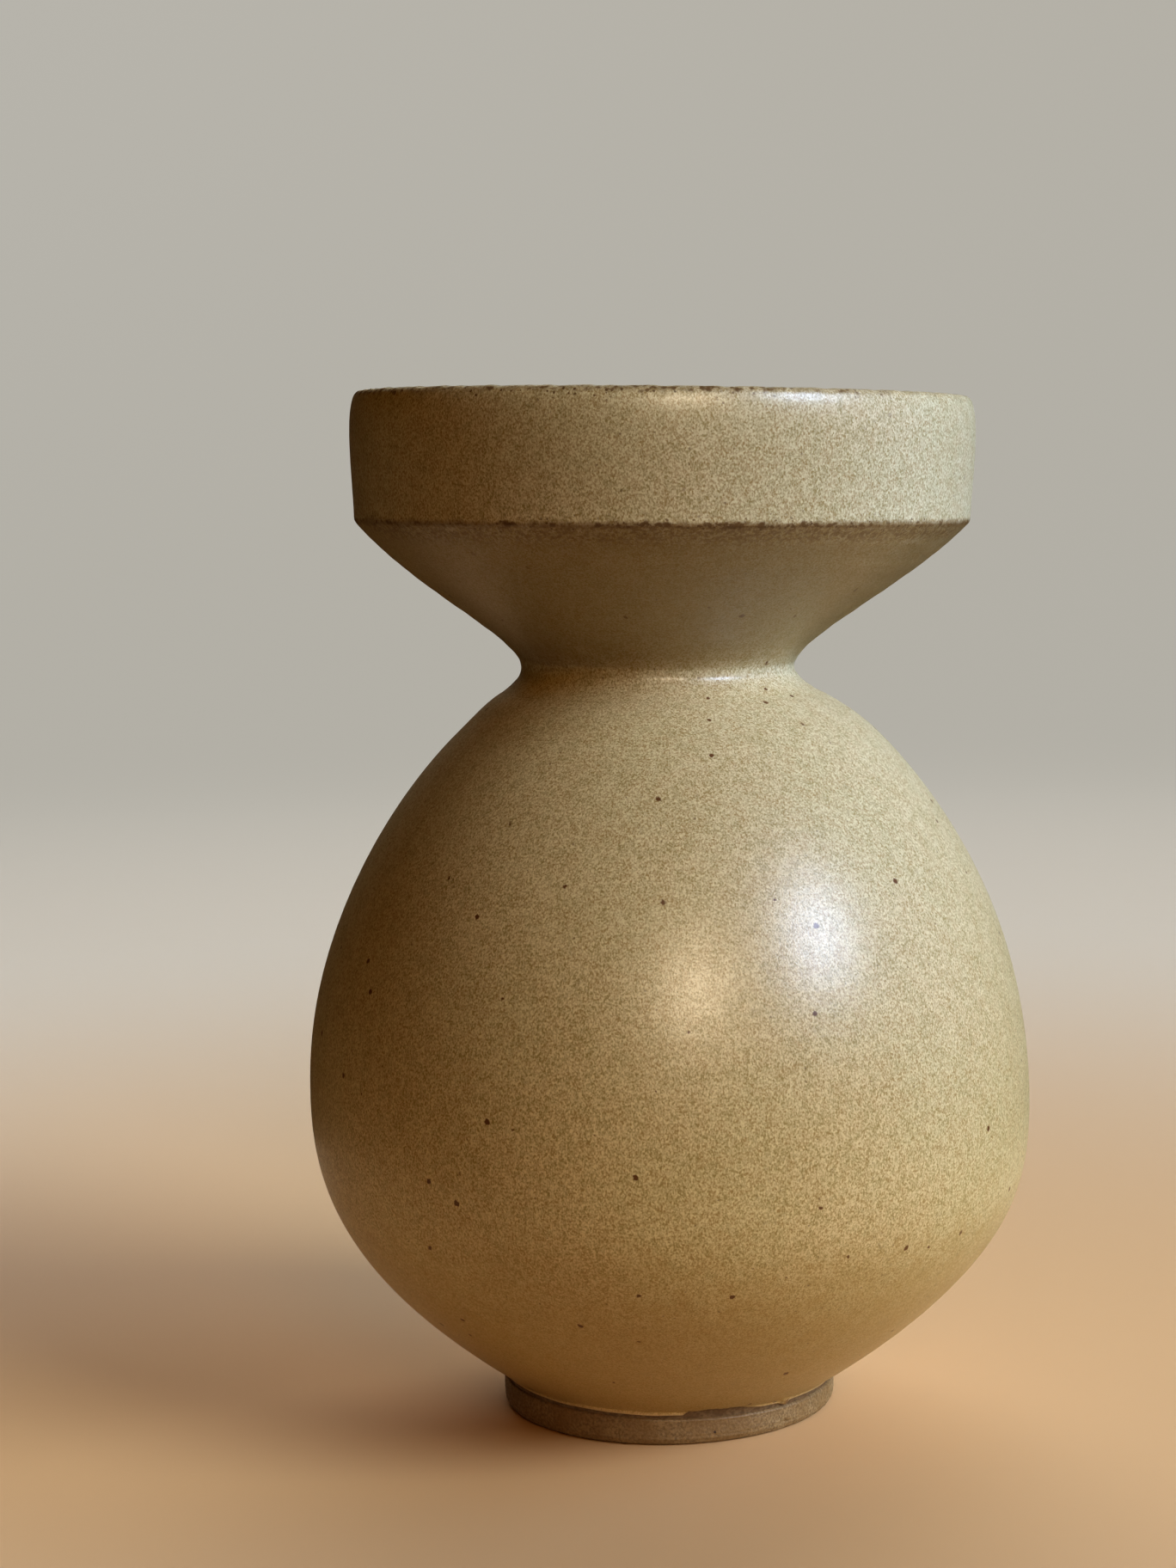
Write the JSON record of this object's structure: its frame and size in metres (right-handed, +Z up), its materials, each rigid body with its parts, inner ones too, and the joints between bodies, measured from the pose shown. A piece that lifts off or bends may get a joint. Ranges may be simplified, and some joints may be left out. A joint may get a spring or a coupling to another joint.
{
  "type": "stoneware pottery vase",
  "caption": "Wheel-thrown stoneware vase with an egg-shaped belly, a narrow neck, a wide flared bowl mouth with an upright collar, and a bare clay foot ring under satin glaze.",
  "frame": {"origin": "centre of the circle that the foot ring stands on", "axes": "+Z up along the axis that the vase was thrown on; X and Y are free, since the vase is a body of revolution"},
  "size_m": [0.17, 0.17, 0.2385],
  "materials": {
    "bare_clay": "bare fired stoneware, matt and slightly sandy",
    "luting_slip": "fired joining slip, matt",
    "satin_glaze": "satin oatmeal-celadon glaze with a fine mottle and a few iron specks"
  },
  "bodies": {
    "root": {"belly": "bare_clay", "flared_bowl": "bare_clay", "foot_ring": "bare_clay", "neck_slip_joint": "luting_slip", "foot_slip_joint": "luting_slip", "outer_glaze": "satin_glaze", "liner_glaze": "satin_glaze"}
  },
  "joints": []
}
